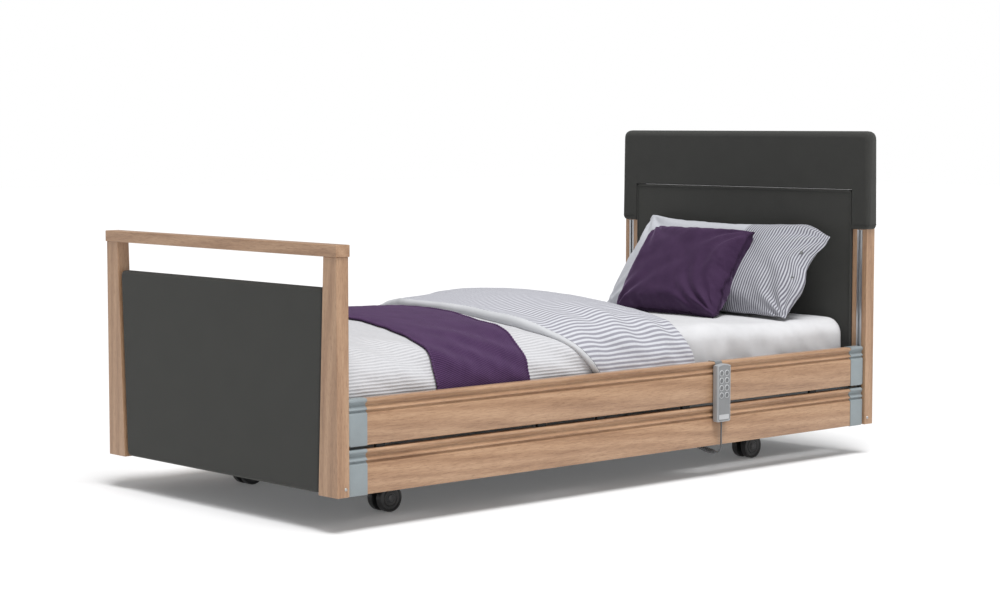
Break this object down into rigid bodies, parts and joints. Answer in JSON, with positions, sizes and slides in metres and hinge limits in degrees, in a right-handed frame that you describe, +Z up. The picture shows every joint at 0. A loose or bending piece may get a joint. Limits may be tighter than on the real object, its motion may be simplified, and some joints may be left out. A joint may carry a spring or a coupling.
{
  "type": "adjustable hospital bed",
  "caption": "Low profiling bed on castors with upholstered end boards, sliding two-board side rails, parallelogram height lift, raising back and leg sections, wired handset and bedding.",
  "frame": {"origin": "on the floor under the middle of the bed at its lowest height", "axes": "+X towards the head end, +Y towards the far side, +Z up"},
  "size_m": [2.13, 1.0772, 1.009],
  "materials": {
    "oak_laminate": "satin woodgrain laminate",
    "charcoal_upholstery": "woven, matt",
    "frame_steel": "satin powder coat",
    "rod_steel": "ground rod",
    "rail_end_plastic": "satin moulded, blue grey",
    "track_aluminium": "satin anodised",
    "handset_plastic": "satin moulded",
    "key_plastic": "soft touch",
    "black_plastic": "moulded",
    "castor_plastic": "moulded, satin",
    "bumper_rubber": "matt",
    "white_sheet": "plain cotton",
    "white_bedding": "ribbed cotton",
    "purple_fabric": "woven, soft",
    "cord_grey": "satin sheath"
  },
  "bodies": {
    "chassis": {"chassis_side_tube_near": "frame_steel", "chassis_side_tube_far": "frame_steel", "chassis_cross_tube_head": "frame_steel", "chassis_cross_tube_foot": "frame_steel", "lift_actuator_housing": "black_plastic"},
    "castor_foot_near_swivel": {"castor_foot_near_housing": "castor_plastic"},
    "castor_foot_near_roll": {"castor_foot_near_wheels": "castor_plastic"},
    "castor_foot_far_swivel": {"castor_foot_far_housing": "castor_plastic"},
    "castor_foot_far_roll": {"castor_foot_far_wheels": "castor_plastic"},
    "castor_head_near_swivel": {"castor_head_near_housing": "castor_plastic"},
    "castor_head_near_roll": {"castor_head_near_wheels": "castor_plastic"},
    "castor_head_far_swivel": {"castor_head_far_housing": "castor_plastic"},
    "castor_head_far_roll": {"castor_head_far_wheels": "castor_plastic"},
    "head_arms": {"head_lift_arms": "frame_steel"},
    "foot_arms": {"foot_lift_arms": "frame_steel"},
    "lift_rod": {"lift_actuator_rod": "rod_steel"},
    "platform": {"platform_side_tube_near": "frame_steel", "platform_side_tube_far": "frame_steel", "platform_cross_beam_head": "frame_steel", "platform_cross_beam_foot": "frame_steel", "seat_deck": "frame_steel", "back_actuator_housing": "black_plastic", "leg_actuator_housing": "black_plastic", "control_box": "black_plastic", "foot_leg_near": "oak_laminate", "foot_leg_far": "oak_laminate", "foot_cap_rail": "oak_laminate", "foot_panel": "charcoal_upholstery", "head_leg_near": "oak_laminate", "head_leg_far": "oak_laminate", "head_upper_pad": "charcoal_upholstery", "head_inner_panel": "charcoal_upholstery", "mattress_seat": "white_sheet", "duvet": "white_bedding", "handset_coil": "cord_grey"},
    "back_section": {"back_deck": "frame_steel", "mattress_back": "white_sheet", "pillow": "white_sheet", "cushion": "purple_fabric"},
    "thigh_section": {"thigh_deck": "frame_steel", "mattress_thigh": "white_sheet"},
    "calf_section": {"calf_deck": "frame_steel", "mattress_calf": "white_sheet", "throw_blanket": "purple_fabric"},
    "back_rod": {"back_actuator_rod": "rod_steel"},
    "leg_rod": {"leg_actuator_rod": "rod_steel"},
    "near_rail_upper": {"side_rail_near_upper": "oak_laminate", "handset": "handset_plastic", "handset_lead": "cord_grey"},
    "near_rail_lower": {"side_rail_near_lower": "oak_laminate"},
    "far_rail_upper": {"side_rail_far_upper": "oak_laminate"},
    "far_rail_lower": {"side_rail_far_lower": "oak_laminate"},
    "button_1": {"handset_button_1": "key_plastic"},
    "button_2": {"handset_button_2": "key_plastic"},
    "button_3": {"handset_button_3": "key_plastic"},
    "button_4": {"handset_button_4": "key_plastic"},
    "button_5": {"handset_button_5": "key_plastic"},
    "button_6": {"handset_button_6": "key_plastic"},
    "button_7": {"handset_button_7": "key_plastic"},
    "button_8": {"handset_button_8": "key_plastic"}
  },
  "joints": [
    {"name": "castor_foot_near_swivel", "type": "hinge", "parent": "chassis", "child": "castor_foot_near_swivel", "pos_m": [-0.713, -0.31, 0.09], "axis": [0, 0, 1], "continuous": true},
    {"name": "castor_foot_near_roll", "type": "hinge", "parent": "castor_foot_near_swivel", "child": "castor_foot_near_roll", "pos_m": [-0.735, -0.31, 0.0375], "axis": [0, 1, 0], "continuous": true},
    {"name": "castor_foot_far_swivel", "type": "hinge", "parent": "chassis", "child": "castor_foot_far_swivel", "pos_m": [-0.713, 0.31, 0.09], "axis": [0, 0, 1], "continuous": true},
    {"name": "castor_foot_far_roll", "type": "hinge", "parent": "castor_foot_far_swivel", "child": "castor_foot_far_roll", "pos_m": [-0.735, 0.31, 0.0375], "axis": [0, 1, 0], "continuous": true},
    {"name": "castor_head_near_swivel", "type": "hinge", "parent": "chassis", "child": "castor_head_near_swivel", "pos_m": [0.737, -0.31, 0.09], "axis": [0, 0, 1], "continuous": true},
    {"name": "castor_head_near_roll", "type": "hinge", "parent": "castor_head_near_swivel", "child": "castor_head_near_roll", "pos_m": [0.715, -0.31, 0.0375], "axis": [0, 1, 0], "continuous": true},
    {"name": "castor_head_far_swivel", "type": "hinge", "parent": "chassis", "child": "castor_head_far_swivel", "pos_m": [0.737, 0.31, 0.09], "axis": [0, 0, 1], "continuous": true},
    {"name": "castor_head_far_roll", "type": "hinge", "parent": "castor_head_far_swivel", "child": "castor_head_far_roll", "pos_m": [0.715, 0.31, 0.0375], "axis": [0, 1, 0], "continuous": true},
    {"name": "height_lift", "type": "hinge", "parent": "chassis", "child": "head_arms", "pos_m": [0.7, 0, 0.128], "axis": [0, 1, 0], "range_deg": [0, 44.29]},
    {"name": "foot_arms_swing", "type": "hinge", "parent": "chassis", "child": "foot_arms", "pos_m": [-0.06, 0, 0.128], "axis": [0, 1, 0], "range_deg": [0, 44.4]},
    {"name": "platform_level", "type": "hinge", "parent": "head_arms", "child": "platform", "pos_m": [0.08764, 0, 0.225], "axis": [0, 1, 0], "range_deg": [-44.4, 0]},
    {"name": "lift_rod_slide", "type": "slide", "parent": "chassis", "child": "lift_rod", "axis": [1, 0, 0], "range_m": [0, 0.0756]},
    {"name": "back_raise", "type": "hinge", "parent": "platform", "child": "back_section", "pos_m": [0.2, 0, 0.272], "axis": [0, -1, 0], "range_deg": [0, 70], "deforming": ["duvet"]},
    {"name": "back_rod_slide", "type": "slide", "parent": "platform", "child": "back_rod", "axis": [1, 0, 0], "range_m": [0, 0.115]},
    {"name": "thigh_raise", "type": "hinge", "parent": "platform", "child": "thigh_section", "pos_m": [-0.01, 0, 0.272], "axis": [0, 1, 0], "range_deg": [0, 35], "deforming": ["duvet"]},
    {"name": "leg_rod_slide", "type": "slide", "parent": "platform", "child": "leg_rod", "axis": [-1, 0, 0], "range_m": [0, 0.0576]},
    {"name": "knee_fold", "type": "hinge", "parent": "thigh_section", "child": "calf_section", "pos_m": [-0.35, 0, 0.272], "axis": [0, 1, 0], "range_deg": [-52.9, 0], "deforming": ["duvet", "throw_blanket"]},
    {"name": "near_rail_raise", "type": "slide", "parent": "platform", "child": "near_rail_upper", "axis": [0, 0, 1], "range_m": [0, 0.34], "deforming": ["handset_lead", "handset_coil"]},
    {"name": "near_lower_board_raise", "type": "slide", "parent": "platform", "child": "near_rail_lower", "axis": [0, 0, 1], "range_m": [0, 0.2483]},
    {"name": "far_rail_raise", "type": "slide", "parent": "platform", "child": "far_rail_upper", "axis": [0, 0, 1], "range_m": [0, 0.34]},
    {"name": "far_lower_board_raise", "type": "slide", "parent": "platform", "child": "far_rail_lower", "axis": [0, 0, 1], "range_m": [0, 0.2483]},
    {"name": "button_1_press", "type": "slide", "parent": "near_rail_upper", "child": "button_1", "axis": [0, 1, 0], "range_m": [0, 0.0012], "stiffness_N_per_m": 900, "springref_m": -0.001},
    {"name": "button_2_press", "type": "slide", "parent": "near_rail_upper", "child": "button_2", "axis": [0, 1, 0], "range_m": [0, 0.0012], "stiffness_N_per_m": 900, "springref_m": -0.001},
    {"name": "button_3_press", "type": "slide", "parent": "near_rail_upper", "child": "button_3", "axis": [0, 1, 0], "range_m": [0, 0.0012], "stiffness_N_per_m": 900, "springref_m": -0.001},
    {"name": "button_4_press", "type": "slide", "parent": "near_rail_upper", "child": "button_4", "axis": [0, 1, 0], "range_m": [0, 0.0012], "stiffness_N_per_m": 900, "springref_m": -0.001},
    {"name": "button_5_press", "type": "slide", "parent": "near_rail_upper", "child": "button_5", "axis": [0, 1, 0], "range_m": [0, 0.0012], "stiffness_N_per_m": 900, "springref_m": -0.001},
    {"name": "button_6_press", "type": "slide", "parent": "near_rail_upper", "child": "button_6", "axis": [0, 1, 0], "range_m": [0, 0.0012], "stiffness_N_per_m": 900, "springref_m": -0.001},
    {"name": "button_7_press", "type": "slide", "parent": "near_rail_upper", "child": "button_7", "axis": [0, 1, 0], "range_m": [0, 0.0012], "stiffness_N_per_m": 900, "springref_m": -0.001},
    {"name": "button_8_press", "type": "slide", "parent": "near_rail_upper", "child": "button_8", "axis": [0, 1, 0], "range_m": [0, 0.0012], "stiffness_N_per_m": 900, "springref_m": -0.001}
  ],
  "couplings": [
    {"joint": "foot_arms_swing", "follows": "height_lift", "ratio": 1},
    {"joint": "platform_level", "follows": "height_lift", "ratio": -1},
    {"joint": "lift_rod_slide", "follows": "height_lift", "m_per_rad": 0.0975},
    {"joint": "back_rod_slide", "follows": "back_raise", "m_per_rad": 0.0939},
    {"joint": "leg_rod_slide", "follows": "thigh_raise", "m_per_rad": 0.0939},
    {"joint": "knee_fold", "follows": "thigh_raise", "ratio": -1.5069},
    {"joint": "near_lower_board_raise", "follows": "near_rail_raise", "ratio": 0.73},
    {"joint": "far_lower_board_raise", "follows": "far_rail_raise", "ratio": 0.73}
  ]
}
